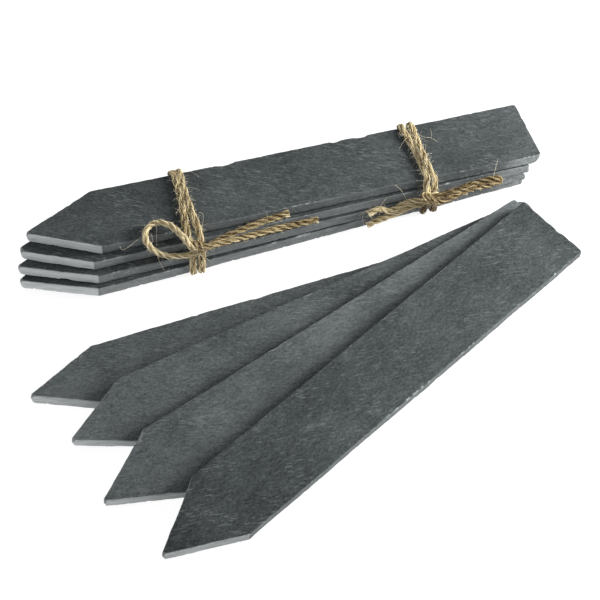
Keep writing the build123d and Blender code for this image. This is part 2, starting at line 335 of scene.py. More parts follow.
def jute_finish():
    """Straw yarns of uneven tone with fine fibres along them, browner between and with painted shade in the
    gaps.
    """
    material, tree, shader = new_material("jute_fibre")
    place = add_node(tree, "ShaderNodeTexCoord").outputs["Object"]
    tone = attribute(tree, "yarn_tone").ramp(*YARN_TONES)
    blotch = noise(tree, place, seed=3.0, scale=260.0, detail=2.0)
    fibre = noise(tree, place, seed=8.0, scale=2600.0, detail=3.0, roughness=0.7)
    # Points deep in the twine fall towards the darkest stops: brown of the inner yarns and painted shade in
    # the gaps
    worth = attribute(tree, "yarn_outside") * OUTSIDE_WEIGHT + tone * YARN_TONE_WEIGHT
    worth = worth + blotch * BLOTCH_WEIGHT + fibre * FIBRE_WEIGHT
    # Take off the painted shade of the stretch; where that number is below zero it adds painted light
    worth = worth - attribute(tree, "yarn_stain") - JUTE_DARKENING
    plug(tree, shader.inputs["Base Color"], colour_ramp(tree, worth, JUTE_STOPS))
    shader.inputs["Roughness"].default_value = JUTE_ROUGHNESS
    shader.inputs["Specular IOR Level"].default_value = JUTE_GLOSS
    bump = {"Strength": FIBRE_BUMP, "Distance": FIBRE_RELIEF, "Height": fibre}
    plug(tree, shader.inputs["Normal"], result(tree, "ShaderNodeBump", bump))
    return material


JUTE = jute_finish()
print("finish", JUTE.name)


# %% [markdown]
# ## Shape: laid twine
# Twine is a rope in small: several plies laid round each other, each of them a bundle of yarns twisted the
# other way. A tube with a twisted texture would look smooth from close by, so one tree lays every yarn as its
# own thin tube along the twine's route, and lets short fibres stand out all over. The lay is as uneven as
# hand work: noise makes thick places, loose yarns, and plies that turn early or late.

# %% Build the tree that lays twine along a route
PLY_COUNT = 3
PLY_SPREAD = 0.76
YARN_COUNT = 9
YARN_SPREAD = 1.3
YARN_TURN = 12.0 * MM
YARN_SIDES = 4
YARN_LEAST = 0.48
YARN_RANGE = 0.75
SLUB_LEAST = 0.75
SLUB_RANGE = 0.5
LOOSE_LEAST = 0.74
LOOSE_RANGE = 0.5
FRAY_LEAST = 0.4
FRAY_LENGTH = 3.0 * MM
SLACK_TURN = 3.0
DRIFT_TURN = 2.5
YARN_TONE_WAVES = 110.0
OUTSIDE_SPAN = 1.55
OUTSIDE_START = 0.35
PAINTED_SHADE_EDGE = 4.0 * MM
ROUTE_STEP = 0.5 * MM
FIBRE_RADIUS = 0.03 * MM
FIBRE_SIDES = 3
FIBRE_BLEACH = 1.02
FUZZ_OUTSIDE = 0.62
FUZZ_FLOOR = 3.2 * MM
FUZZ_SIZES = (0.25, 1.05)
FUZZ_STEPS = 4
FUZZ_BEND = ((0.35, 0.0, 0.45), (0.85, 0.0, 0.65))


def tube_along(tree, line, sides, radius, scale=1.0):
    """A closed thin tube along a line."""
    ring = result(tree, "GeometryNodeCurvePrimitiveCircle", {"Resolution": sides, "Radius": radius})
    return result(tree, "GeometryNodeCurveToMesh",
                  {"Curve": line, "Profile Curve": ring, "Scale": scale, "Fill Caps": True})


def fibre_along(tree, line, radius):
    """A thin bleached fibre along a line."""
    tube = tube_along(tree, line, FIBRE_SIDES, radius)
    return with_number(tree, with_number(tree, tube, "yarn_outside", FIBRE_BLEACH), "yarn_tone", 1.0)


def bent_fibre(tree, length, steps, bend):
    """A fibre that leans over as it stands; the bend is its middle and end in shares of the length."""
    middle, end = (joined(tree, *(length * share for share in point)) for point in bend)
    line = result(tree, "GeometryNodeCurveQuadraticBezier",
                  {"Resolution": steps, "Start": (0, 0, 0), "Middle": middle, "End": end})
    return fibre_along(tree, line, FIBRE_RADIUS)


def random_number(tree, low, high, seed):
    """A random number for each point or copy."""
    return add_node(tree, "FunctionNodeRandomValue", {2: low, 3: high, "Seed": seed}).outputs[1]


def scattered(tree, fibre, surface, chosen, density, seed, sizes):
    """Copies of a fibre that stand on a chosen part of a surface, each turned and sized at random."""
    roots = add_node(tree, "GeometryNodeDistributePointsOnFaces",
                     {"Mesh": surface, "Selection": chosen, "Density": density, "Seed": seed})
    standing = result(tree, "GeometryNodeInstanceOnPoints", {
        "Points": roots.outputs[0], "Instance": fibre, "Rotation": roots.outputs["Rotation"],
        "Scale": random_number(tree, *sizes, seed),
    })
    turn = joined(tree, 0.0, 0.0, random_number(tree, 0.0, math.tau, seed))
    return result(tree, "GeometryNodeRotateInstances", {"Instances": standing, "Rotation": turn})


def twine_tree():
    """Plies and yarns along a route, with fuzz; the far end can be frayed."""
    tree, given = new_tree("laid_twine", {
        "Route": "object", "Diameter": "number", "Lay": "number", "Widening": "number",
        "Flattening": "number", "Fray": "number", "Fuzz": "number", "Fuzz Length": "number",
        "Stain": "number", "Stain Top": "number", "Seed": "count", "Material": "material",
    })
    even = result(tree, "GeometryNodeResampleCurve",
                  {"Curve": shape_of(tree, given["Route"]), "Length": ROUTE_STEP}, mode="LENGTH")
    yarns = add_node(tree, "GeometryNodeDuplicateElements",
                     {0: even, "Amount": PLY_COUNT * YARN_COUNT}, domain="SPLINE")
    number = Field(tree, yarns.outputs[1])
    ply = (number / YARN_COUNT).math("FLOOR")
    done = Field(tree, add_node(tree, "GeometryNodeSplineParameter").outputs["Length"])
    whole = Field(tree, add_node(tree, "GeometryNodeSplineLength").outputs["Length"])
    spot = here(tree)
    height = split(tree, spot)[2]
    seed = given["Seed"]

    # Radii of the ply's middle and of the yarn in its ply, both a little uneven along the way
    wander = noise(tree, spot, seed=seed + number * 3.7, scale=320.0)
    slub = noise(tree, spot, seed=seed + 90.0, scale=120.0) * SLUB_RANGE + SLUB_LEAST
    ply_radius = given["Diameter"] / (2 + 4 / math.sqrt(3)) * slub
    yarn_radius = ply_radius / 3
    frayed = (done - whole + FRAY_LENGTH).most(0.0) / FRAY_LENGTH
    looseness = LOOSE_LEAST + wander * LOOSE_RANGE
    looseness = looseness + frayed * frayed * given["Fray"] * (FRAY_LEAST + wander)
    ply_out = ply_radius * (2 / math.sqrt(3) * PLY_SPREAD) * looseness
    yarn_out = yarn_radius * (2 * YARN_SPREAD) * looseness

    # Angles of the ply round the twine and of the yarn round its ply
    slack = noise(tree, spot, seed=seed + 50.0, scale=150.0) * SLACK_TURN
    slack = slack + noise(tree, spot, seed=seed + ply, scale=400.0)
    ply_angle = done / given["Lay"] * math.tau + ply * (math.tau / PLY_COUNT) + slack
    drift = noise(tree, spot, seed=seed + number * 1.3 + 200.0, scale=260.0) * DRIFT_TURN
    yarn_angle = ply_angle + number * (math.tau / YARN_COUNT) - done / YARN_TURN * math.tau + drift
    sideways = ply_out * ply_angle.cosine() + yarn_out * yarn_angle.cosine()
    outwards = ply_out * ply_angle.sine() + yarn_out * yarn_angle.sine()

    # Numbers for the finish
    far_out = (sideways * sideways + outwards * outwards).math("SQRT")
    far_out = far_out / (ply_radius * OUTSIDE_SPAN) - OUTSIDE_START
    tone = noise(tree, joined(tree, number * 5.3, seed, done * YARN_TONE_WAVES))
    # Painted shade of the stretch, laid on below its top height; below zero it is painted light
    painted_shade = given["Stain"] * height.ramp(given["Stain Top"], given["Stain Top"] - PAINTED_SHADE_EDGE)
    marked = with_number(tree, yarns.outputs[0], "yarn_outside", far_out)
    marked = with_number(tree, marked, "yarn_tone", tone)
    marked = with_number(tree, marked, "yarn_stain", painted_shade)

    # Move each yarn off the route in the route's own cross-section, and give it its thickness
    normal = result(tree, "GeometryNodeInputNormal")
    tangent = result(tree, "GeometryNodeInputTangent")
    other = vector_math(tree, "CROSS_PRODUCT", {0: tangent, 1: normal})
    part_one = vector_math(tree, "SCALE", {0: normal, "Scale": sideways})
    part_two = vector_math(tree, "SCALE", {0: other, "Scale": outwards})
    round_offset = vector_math(tree, "ADD", {0: part_one, 1: part_two})
    press = joined(tree, given["Widening"], given["Flattening"], given["Flattening"])
    offset = vector_math(tree, "MULTIPLY", {0: round_offset, 1: press})
    laid = result(tree, "GeometryNodeSetPosition", {0: marked, "Offset": offset})
    sized = result(tree, "GeometryNodeSetCurveRadius",
                   {0: laid, "Radius": yarn_radius * (YARN_LEAST + tone * YARN_RANGE)})
    tubes = tube_along(tree, sized, YARN_SIDES, 1.0, scale=result(tree, "GeometryNodeInputRadius"))

    # Short fibres that stand out of the outer yarns
    outer = stored(tree, "yarn_outside").over(FUZZ_OUTSIDE) * height.over(FUZZ_FLOOR)
    hair = bent_fibre(tree, given["Fuzz Length"], FUZZ_STEPS, FUZZ_BEND)
    fuzz = scattered(tree, hair, tubes, outer, given["Fuzz"], given["Seed"], FUZZ_SIZES)
    both = add_node(tree, "GeometryNodeJoinGeometry")
    for part in (tubes, fuzz):
        tree.links.new(part, both.inputs[0])
    end_tree(tree, result(tree, "GeometryNodeSetShadeSmooth", {0: both.outputs[0]}), given["Material"])
    return tree


TWINE_TREE = twine_tree()
print(TWINE_TREE.name, len(TWINE_TREE.nodes), "nodes")


# %% [markdown]
# ## One stretch of twine
# Both ties are one kind of twine, but a strand that is drawn tight is flatter and less twisted than one that
# lies loose, and some stretches carry painted shade, a few painted light. So a stretch is a route plus these
# few numbers.
# The route is a smooth curve that is led by control points, and the tree lays the yarns along it.

# %% Helpers that lay a stretch
TWINE_DIAMETER = 2.5 * MM
BODY_SHARE = 1.08
FUZZ_DENSITY = 1150000.0
ROUTE_ORDER = 3
ROUTE_RESOLUTION = 8
Twist = namedtuple("Twist", "lay widening flattening fray fuzz_length")
LOOSE_TWIST = Twist(lay=11.0 * MM, widening=1.0, flattening=1.0, fray=0.0, fuzz_length=1.5 * MM)
# Painted shade for stretches that lie in shade, such as the right loop and the right winding near the floor;
# below zero it is painted light, as on the left loop
PAINTED_SHADES = {
    "left_tie_loop": -0.12, "left_tie_tail_upper": 0.14, "left_tie_tail_lower": 0.14, "left_tie_knot": 0.22,
    "right_tie_loop": 0.26, "right_tie_tail_upper": -0.05, "right_tie_tail_lower": -0.05,
    "right_tie_knot": 0.2, "right_tie_winding": 0.36,
}
# Height below which a stretch's painted shade is laid on
PAINTED_SHADE_TOPS = {"right_tie_winding": 11.0 * MM}
ABOVE_ALL = 40.0 * MM


def nurbs_lines(name, rows):
    """Smooth open lines, each with its row of points as control points."""
    curve = bpy.data.curves.new(name + "_route", "CURVE")
    curve.dimensions = "3D"
    for points in rows:
        spline = curve.splines.new("NURBS")
        spline.points.add(len(points) - 1)
        for control, point in zip(spline.points, points):
            control.co = (*point, 1.0)
        spline.order_u = ROUTE_ORDER
        spline.use_endpoint_u = True
        spline.resolution_u = ROUTE_RESOLUTION
    line = bpy.data.objects.new(name + "_route", curve)
    bpy.context.scene.collection.objects.link(line)
    return line


def nurbs_route(name, points):
    """One smooth line, and the points along it."""
    line = nurbs_lines(name, [points])
    ready = bpy.context.evaluated_depsgraph_get()
    mesh = bpy.data.meshes.new_from_object(line.evaluated_get(ready), depsgraph=ready)
    path = [vertex.co.copy() for vertex in mesh.vertices]
    bpy.data.meshes.remove(mesh)
    return line, path


def line_length(path):
    """Length of a line of points."""
    return sum((after - before).length for before, after in zip(path, path[1:]))


def declare_twine(piece, *nodes):
    """Make a piece of jute move with the ties, and hide the solid that it stands for, if any."""
    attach(piece, "twine_ties")
    for node in nodes:
        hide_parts(node)


def lay_twine(node, points, seed, twist=LOOSE_TWIST):
    """One stretch of twine in the place of its solid, and the line that it follows."""
    name = node + "_laid"
    line, path = nurbs_route(name, points)
    mesh = grown_mesh(name, TWINE_TREE, {
        "Route": line, "Diameter": TWINE_DIAMETER * BODY_SHARE, "Lay": twist.lay,
        "Widening": twist.widening, "Flattening": twist.flattening, "Fray": twist.fray,
        "Fuzz": FUZZ_DENSITY, "Fuzz Length": twist.fuzz_length, "Stain": PAINTED_SHADES.get(node, 0.0),
        "Stain Top": PAINTED_SHADE_TOPS.get(node, ABOVE_ALL), "Seed": seed, "Material": JUTE,
    })
    bpy.data.objects.remove(line)
    piece = shown(name, mesh)
    declare_twine(piece, node)
    print(name, "length", round(line_length(path) / MM, 1), "mm,", len(mesh.polygons), "faces")
    return piece, path


# %% [markdown]
# ## The loose twine: loops and ends
# Each tie ends in a half bow: one loop pulled through on one side and two cut ends on the other. They are
# limp, so they lie on the ledges that the stacked stakes leave. Their routes are listed as offsets from the
# knot in millimetres, and a smooth curve takes the points as its control points.

# %% Lay the loops and the cut ends
# A tie's own numbers: how far its windings lie beside the knot, how wide apart its two passes stand over the
# top, how far they part above the knot, how far they shift on the far side and close up at the foot, how much
# one pass lifts over the other, and how much the knot's wraps lean
Tie = namedtuple("Tie", "name shift spacing parting far_shift foot lift lean loop tail_upper tail_lower")
SEED_STEP = 10
TIES = [
    Tie(
        "left_tie", shift=1.1, spacing=(1.0, 0.66, 0.42, 0.52), parting=1.2, far_shift=1.7, foot=0.78,
        lift=0.0, lean=0.35,
        loop=[
            (0.5, -0.6, 0.3), (-3.0, -1.8, 0.8), (-4.9, 1.8, 3.6), (-6.8, 5.3, 5.5), (-9.8, 9.6, 6.2),
            (-13.7, 12.0, 5.8), (-17.4, 10.2, 5.7), (-19.6, 6.5, 5.4), (-19.0, 3.5, 2.8), (-16.1, 1.8, -0.2),
            (-12.3, 0.3, -1.9), (-8.1, -0.2, -2.4), (-5.0, -0.6, -2.5), (-3.0, -0.6, -2.2), (0.5, -0.2, -0.9),
        ],
        tail_upper=[
            (-0.5, 0.5, -0.3), (2.8, 0.3, -1.2), (6.2, 1.2, -1.0), (12.3, 3.2, -0.2), (19.0, 3.9, 0.7),
            (25.2, 4.6, 1.4), (31.4, 5.4, 1.7), (37.0, 5.7, 2.1),
        ],
        tail_lower=[
            (-0.5, -0.7, 0.2), (2.8, -1.4, 0.6), (5.9, -0.8, 0.7), (12.5, 0.6, -0.9), (21.5, 2.4, -2.1),
            (30.8, 3.6, -2.8), (39.6, 3.8, -2.9), (48.0, 4.0, -2.9),
        ],
    ),
    Tie(
        "right_tie", shift=-1.1, spacing=(0.56, 0.28, 0.64, 0.92), parting=0.72, far_shift=0.0, foot=1.0,
        lift=1.2, lean=1.2,
        loop=[
            (-0.5, -0.3, 0.5), (2.8, -0.6, 1.0), (7.9, 0.1, 0.4), (14.0, 1.3, 0.6), (20.2, 2.0, 0.9),
            (25.6, 2.4, 0.9), (28.3, 2.4, 0.8), (29.3, 2.3, 0.0), (29.3, 2.2, -0.8), (28.3, 2.1, -1.4),
            (25.6, 2.1, -1.4), (20.6, 2.0, -1.3), (15.0, 1.3, -1.4), (9.5, 0.0, -1.6), (6.2, -1.2, -1.4),
            (3.2, -2.2, -1.1), (-0.5, -1.0, -0.4),
        ],
        tail_upper=[
            (3.2, 1.8, 0.2), (-2.8, -2.0, 1.0), (-6.0, 0.2, 0.3), (-9.9, 2.2, -2.0), (-13.6, 2.2, -4.3),
            (-16.6, 2.0, -4.6), (-19.0, 2.2, -2.8), (-21.2, 2.0, -1.8), (-24.8, 1.6, -3.2),
        ],
        tail_lower=[
            (3.4, 2.2, -0.8), (-2.8, -0.5, -1.5), (-6.0, 1.0, -2.9), (-10.2, 1.8, -4.9), (-14.5, 1.8, -6.6),
            (-18.6, 1.8, -7.4), (-22.0, 1.7, -8.2), (-25.2, 1.4, -9.2),
        ],
    ),
]
FAR_ENDS = {"loop": "object", "tail_upper": "bare", "tail_lower": "bare"}
CUT_TWIST = LOOSE_TWIST._replace(fray=0.3)


def middle_of(node):
    """The middle of a node's box."""
    low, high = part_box(node)
    return (low + high) / 2


def lay_loose_twine(tie, seed):
    """The loop and the two cut ends of one tie."""
    knot = middle_of(tie.name + "_knot")
    for number, (part, far_end) in enumerate(FAR_ENDS.items()):
        points = [knot + Vector(offset) * MM for offset in getattr(tie, part)]
        twist = CUT_TWIST if far_end == "bare" else LOOSE_TWIST
        piece, path = lay_twine(f"{tie.name}_{part}", points, seed + number, twist)
        line_length(path)


for number, tie in enumerate(TIES):
    lay_loose_twine(tie, SEED_STEP * (number + 1))


# %% [markdown]
# ## Measure the stakes
# Every stake is a thin pointed slab. Its place could be typed in again, but then it would have to be changed
# twice. Instead the largest faces of each solid tell where its flat side and its long edges point, and the
# corners along those directions give its sizes.

# %% Measure every stake in the frame
Slab = namedtuple("Slab", "name middle along across up length width thickness near_tip far_tip nose")
STAKE_NAMES = [f"{group}_stake_{number}" for group in ("tied", "loose") for number in range(1, 5)]
SAME_EDGE = 0.02 * MM
MAIN_FACES = 60
SQUARE_WITHIN = 0.02
SAME_DIRECTION = 0.9999


def main_normal(faces, square_to=None):
    """The direction that most of the faces' area points in, up or down alike."""
    best, best_area = None, 0.0
    for normal, _ in faces:
        if square_to is not None and abs(normal.dot(square_to)) > SQUARE_WITHIN:
            continue
        area = sum(size for other, size in faces if abs(other.dot(normal)) > SAME_DIRECTION)
        if area > best_area:
            best, best_area = normal, area
    return best


def measure_slab(name):
    """Sizes and place of a stake from its solid; the middle is on its underside."""
    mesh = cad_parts[name].data
    faces = [(face.normal.copy(), face.area) for face in mesh.polygons]
    largest = sorted(faces, key=lambda face: -face[1])[:MAIN_FACES]
    up = main_normal(largest)
    up = up if up.z > 0 else -up
    across = main_normal(largest, square_to=up)
    across = across if across.y > 0 else -across
    along = across.cross(up)
    axes = Matrix((along, across, up))
    corners = [axes @ vertex.co for vertex in mesh.vertices]
    low = Vector(min(corner[axis] for corner in corners) for axis in range(3))
    high = Vector(max(corner[axis] for corner in corners) for axis in range(3))
    near_shoulder = min(corner.x for corner in corners if corner.y < low.y + SAME_EDGE)
    far_shoulder = min(corner.x for corner in corners if corner.y > high.y - SAME_EDGE)
    blunt = [corner.y for corner in corners if corner.x < low.x + SAME_EDGE]
    nose_width = max(blunt) - min(blunt)
    # The two tip cuts would meet a little beyond the blunt nose
    width = high.y - low.y
    share = nose_width / width
    mean_tip = ((near_shoulder + far_shoulder) / 2 - low.x) / (1 - share)
    nose = mean_tip * share
    point = low.x - nose
    length = high.x - point
    middle = axes.transposed() @ Vector((point + length / 2, (low.y + high.y) / 2, low.z))
    return Slab(name, middle, along, across, up, length, width, high.z - low.z,
                near_shoulder - point, far_shoulder - point, nose)


SLABS = {name: measure_slab(name) for name in STAKE_NAMES}
for slab in SLABS.values():
    print(slab.name, [round(value / MM, 2) for value in slab[5:]])


# %% [markdown]
# ## The windings and the knots
# The twine goes round the bundle twice and is drawn tight, so between the arrises it runs straight. Its bends
# could be placed by eye, but they follow from the stakes: with a circle round every corner of the bundle's
# section, the hull of all circles is the line that tight twine takes.

# %% Find the line of tight twine
WOUND_TWIST = Twist(lay=24.0 * MM, widening=1.22, flattening=0.6, fray=0.0, fuzz_length=2.6 * MM)
WOUND_GAP = 0.1 * MM
CORNER_STEPS = 20
TIED_SLABS = [SLABS[name] for name in STAKE_NAMES if name.startswith("tied")]


def tight_ring(along):
    """The line of tight twine round the bundle, as (across, height), from the near top arris over the top."""
    reach = TWINE_DIAMETER / 2 * WOUND_TWIST.flattening + WOUND_GAP
    spots = []
    for slab in TIED_SLABS:
        middle = slab.middle.y + (along - slab.middle.x) * slab.along.y / slab.along.x
        half = slab.width / 2 / slab.along.x
        for side in (-half, half):
            for height in (slab.middle.z, slab.middle.z + slab.thickness):
                for step in range(CORNER_STEPS):
                    angle = math.tau * step / CORNER_STEPS
                    spots.append((middle + side + reach * math.cos(angle), height + reach * math.sin(angle)))
    hull = [Vector(spots[index]) for index in geometry.convex_hull_2d(spots)]
    if (hull[1] - hull[0]).cross(hull[2] - hull[1]) > 0:
        hull.reverse()
    start = max(range(len(hull)), key=lambda index: hull[index].y - hull[index].x)
    return hull[start:] + hull[:start]


def near_side(ring):
    """The stretch of the ring from the near bottom arris up to the start."""
    bottom = max(range(len(ring)), key=lambda index: -ring[index].y - ring[index].x)
    return bottom, ring[bottom:] + ring[:1]


def foot_height(side, knot):
    """The height on the near side that lies closest to the knot."""
    spot = Vector((knot.y, knot.z))
    best, best_gap = 0.0, math.inf
    for before, after in zip(side, side[1:]):
        _, share = geometry.intersect_point_line(spot, before, after)
        close = before.lerp(after, min(max(share, 0.0), 1.0))
        if (close - spot).length < best_gap:
            best, best_gap = close.y, (close - spot).length
    return best


def side_at(side, height):
    """The place on the near side at a height."""
    for before, after in zip(side, side[1:]):
        if before.y <= height < after.y:
            return before.lerp(after, (height - before.y) / (after.y - before.y))
    return side[-1]


for tie in TIES:
    ring = tight_ring(middle_of(tie.name + "_knot").x)
    print(tie.name, "one turn", round(line_length([*ring, ring[0]]) / MM, 1), "mm")


# %% [markdown]
# Each tie passes over the top twice, and the two passes lean together there and part again at the knot. Two
# equal rings would look machine-made, so the passes are one route: out of the knot, round, up behind the
# knot, round again and into the knot from below.

# %% Lay the windings round the bundle
STRAND_SPACING = 4.2 * MM
TOP_SHARES = (0.3, 0.65, 0.97)
PARTING_HEIGHT = 2.0 * MM
CROSSING_HEIGHTS = (-4.5 * MM, 0.5 * MM)
KNOT_ANCHOR = 1.2 * MM
RISE_POINTS = 3
WOUND_SEED = 40


def across_top(ring, bottom, tie, along, offset):
    """One pass over the top, down the far side and under the bundle, drawn together on the top."""
    centre = (min(spot.x for spot in ring) + max(spot.x for spot in ring)) / 2
    first_far = next(index for index in range(bottom) if ring[index].x > centre)
    near, far = ring[first_far - 1], ring[first_far]
    points = [(along + offset * tie.spacing[0], spot.x, spot.y) for spot in ring[:first_far]]
    for share, factor in zip(TOP_SHARES, tie.spacing[1:]):
        spot = near.lerp(far, share)
        lift = tie.lift * MM if offset > 0 and share == TOP_SHARES[0] else 0.0
        points.append((along + offset * factor + tie.far_shift * MM * share, spot.x, spot.y + lift))
    last = along + offset * tie.spacing[-1] + tie.far_shift * MM
    for index, spot in enumerate(ring[first_far:bottom]):
        share = index / (bottom - first_far)
        points.append((last + (along + offset * tie.foot - last) * share, spot.x, spot.y))
    return points


def winding_points(tie):
    """Two turns: out of the knot, over, round and up behind it, then round again and into it from below."""
    knot = middle_of(tie.name + "_knot")
    along = knot.x - tie.shift * MM
    half = STRAND_SPACING / 2
    ring = tight_ring(along)
    bottom, side = near_side(ring)
    foot = foot_height(side, knot)
    parted = side_at(side, foot + PARTING_HEIGHT)
    points = [
        (knot.x - KNOT_ANCHOR, knot.y + KNOT_ANCHOR, knot.z),
        (along - half * tie.parting, parted.x, parted.y),
    ]
    points += across_top(ring, bottom, tie, along, -half)
    low, high = (side_at(side, foot + height) for height in CROSSING_HEIGHTS)
    points += [(along - half * tie.foot, spot.x, spot.y) for spot in side if spot.y < low.y]
    points += [(along - half * tie.foot, low.x, low.y), (along + half * tie.parting, high.x, high.y)]
    points += [(along + half * tie.parting, spot.x, spot.y) for spot in side[:-1] if spot.y > high.y]
    points += across_top(ring, bottom, tie, along, half)
    points += [(along + half * tie.foot, spot.x, spot.y) for spot in side[:RISE_POINTS]]
    points += [
        (knot.x + KNOT_ANCHOR, knot.y, knot.z - KNOT_ANCHOR),
        (knot.x + KNOT_ANCHOR, knot.y + KNOT_ANCHOR, knot.z),
    ]
    return points


for number, tie in enumerate(TIES):
    lay_twine(tie.name + "_winding", winding_points(tie), WOUND_SEED + number, WOUND_TWIST)


# %% [markdown]
# The knot itself is twine too: two wraps drawn up over the strands that leave it. A lump of clay with a twine
# texture would give itself away, so the wraps are one more route, a short helix worked out by a loop.

# %% Draw up the knots
WRAP_TURNS = 2.0
WRAP_STEPS = 16
WRAP_RADIUS = 1.62 * MM
WRAP_PITCH = 2.35 * MM
WRAP_CLOSENESS = 0.5
KNOT_SEED = 60


def wrap_points(knot, lean):
    """A leaning helix round the strands in the knot, starting and ending behind them."""
    points = []
    for step in range(WRAP_STEPS + 1):
        share = step / WRAP_STEPS
        angle = math.tau * WRAP_TURNS * share
        outward, upward = -math.cos(angle) * WRAP_RADIUS, math.sin(angle) * WRAP_RADIUS
        along = (share - 0.5) * WRAP_PITCH * WRAP_TURNS * WRAP_CLOSENESS - upward * lean
        points.append(knot + Vector((along, -outward, upward)))
    return points


for number, tie in enumerate(TIES):
    lay_twine(tie.name + "_knot", wrap_points(middle_of(tie.name + "_knot"), tie.lean), KNOT_SEED + number)


# %% [markdown]
# Jute sheds long pale fibres as well. Laying them one by one would be slow, so a second tree scatters them
# over the windings and the loops, only where they point away from the bundle.

# %% Scatter the stray fibres
STRAY_DENSITY = 12000.0
STRAY_LENGTH = 6.5 * MM
STRAY_FLOOR = 7.5 * MM
STRAY_SIZES = (0.3, 1.3)
STRAY_STEPS = 8
STRAY_BEND = ((0.35, 0.1, 0.45), (0.95, -0.15, 0.3))
STRAY_FACING = 0.2
UPWARD_WEIGHT = 1.6
STRAY_SEED = 70


def stray_tree():
    """Long thin fibres on the outer side of a piece of twine."""
    tree, given = new_tree("stray_fibres", {
        "Twine": "object", "Axis Across": "number", "Axis Height": "number", "Density": "number",
        "Length": "number", "Seed": "count", "Material": "material",
    })
    _, across, height = split(tree, here(tree))
    upward = (height - given["Axis Height"]) * UPWARD_WEIGHT
    outward = vector_math(tree, "NORMALIZE", {0: joined(tree, 0.0, across - given["Axis Across"], upward)})
    normal = result(tree, "GeometryNodeInputNormal")
    facing = Field(tree, vector_math(tree, "DOT_PRODUCT", {0: normal, 1: outward}, "Value"))
    chosen = facing.over(STRAY_FACING) * height.over(STRAY_FLOOR)
    hair = bent_fibre(tree, given["Length"], STRAY_STEPS, STRAY_BEND)
    strays = scattered(tree, hair, shape_of(tree, given["Twine"]), chosen, given["Density"], given["Seed"],
                       STRAY_SIZES)
    end_tree(tree, strays, given["Material"])
    return tree


STRAY_TREE = stray_tree()


def scatter_strays(tie, seed):
    """Stray fibres on the winding and the loop of one tie."""
    axis = middle_of(tie.name + "_winding")
    for number, part in enumerate(("winding", "loop")):
        name = f"{tie.name}_{part}_laid"
        mesh = grown_mesh(name + "_strays", STRAY_TREE, {
            "Twine": bpy.data.objects[name], "Axis Across": axis.y, "Axis Height": axis.z,
            "Density": STRAY_DENSITY, "Length": STRAY_LENGTH, "Seed": seed + number, "Material": JUTE,
        })
        piece = shown(name + "_strays", mesh)
        declare_twine(piece)
        print(piece.name, len(mesh.polygons), "faces")


for number, tie in enumerate(TIES):
    scatter_strays(tie, STRAY_SEED + SEED_STEP * number)


# %% [markdown]
# A few hairs are so long that they catch the eye: at the loops, at the cut ends and beside the windings. A
# scatter would put them anywhere, so these are listed one by one like the loops, as offsets from the knot.

# %% Lay the long hairs
HAIR_RADIUS = 0.05 * MM
LONG_HAIRS = {
    "left_tie": [
        [(-19.6, 7.4, 5.2), (-23.7, 5.2, 4.5), (-27.6, 2.9, 4.2), (-29.5, 2.8, 4.1), (-29.5, 4.9, 4.2)],
        [(-17.4, 10.2, 5.9), (-20.2, 13.2, 5.5), (-22.7, 13.5, 4.6)],
        [(-14.1, 10.0, 5.9), (-14.9, 5.6, 4.7), (-15.6, 4.6, 0.4)],
        [(-16.1, 2.4, -1.0), (-15.4, 1.7, -6.4), (-13.8, 0.4, -9.6)],
        [(3.4, 13.6, 4.2), (5.0, 13.6, 4.2), (4.5, 10.0, 4.1), (2.8, 5.9, 4.0)],
    ],
    "right_tie": [
        [(3.2, 29.5, 7.2), (6.3, 25.4, 6.9), (8.9, 26.2, 6.6), (10.2, 22.7, 6.5)],
        [(10.1, 31.0, 6.1), (9.8, 28.0, 6.1), (8.5, 25.6, 6.1)],
        [(26.4, 2.4, 1.0), (28.0, 4.3, 5.2), (28.8, 4.9, 8.9)],
        [(-0.8, 3.4, 7.1), (-3.3, 3.3, 6.9), (-4.7, 4.9, 6.5)],
        [(-8.5, 2.0, -2.0), (-9.8, 4.2, 1.5), (-11.5, 4.9, 4.4), (-13.1, 4.8, 6.4)],
        [(-19.7, 2.4, -2.0), (-18.4, 3.3, 0.6), (-16.4, 3.9, 1.2)],
        [(-24.0, 2.0, -2.2), (-29.3, 3.3, -1.5), (-28.0, 3.6, -11.2)],
        [(-23.4, 2.0, -2.4), (-28.1, 3.3, -2.2), (-25.8, 3.5, -10.6)],
    ],
}


def hair_tree():
    """Thin pale fibres along the lines of a curve."""
    tree, given = new_tree("long_hairs", {"Lines": "object", "Radius": "number", "Material": "material"})
    hairs = fibre_along(tree, shape_of(tree, given["Lines"]), given["Radius"])
    end_tree(tree, hairs, given["Material"])
    return tree


HAIR_TREE = hair_tree()
for tie in TIES:
    knot = middle_of(tie.name + "_knot")
    name = tie.name + "_hairs"
    rows = [[knot + Vector(offset) * MM for offset in hair] for hair in LONG_HAIRS[tie.name]]
    lines = nurbs_lines(name, rows)
    mesh = grown_mesh(name, HAIR_TREE, {"Lines": lines, "Radius": HAIR_RADIUS, "Material": JUTE})
    bpy.data.objects.remove(lines)
    piece = shown(name, mesh)
    declare_twine(piece)
    print(piece.name, len(rows), "hairs")


# %% [markdown]
# ## Finish: slate
# Split slate is dark blue-grey and matt, with fine grain along the split and pale dashes where it was rubbed.
# Where it was cut it is much paler. The shape step leaves the place on the stake, the freshness of the cut,
# which fades in places as painted shade, and a tone that is partly the stone's own and partly painted light
# and shade, so the grain follows each stake however it lies. Each pattern is noise with its own number of
# waves in a metre along, across and through the stake.

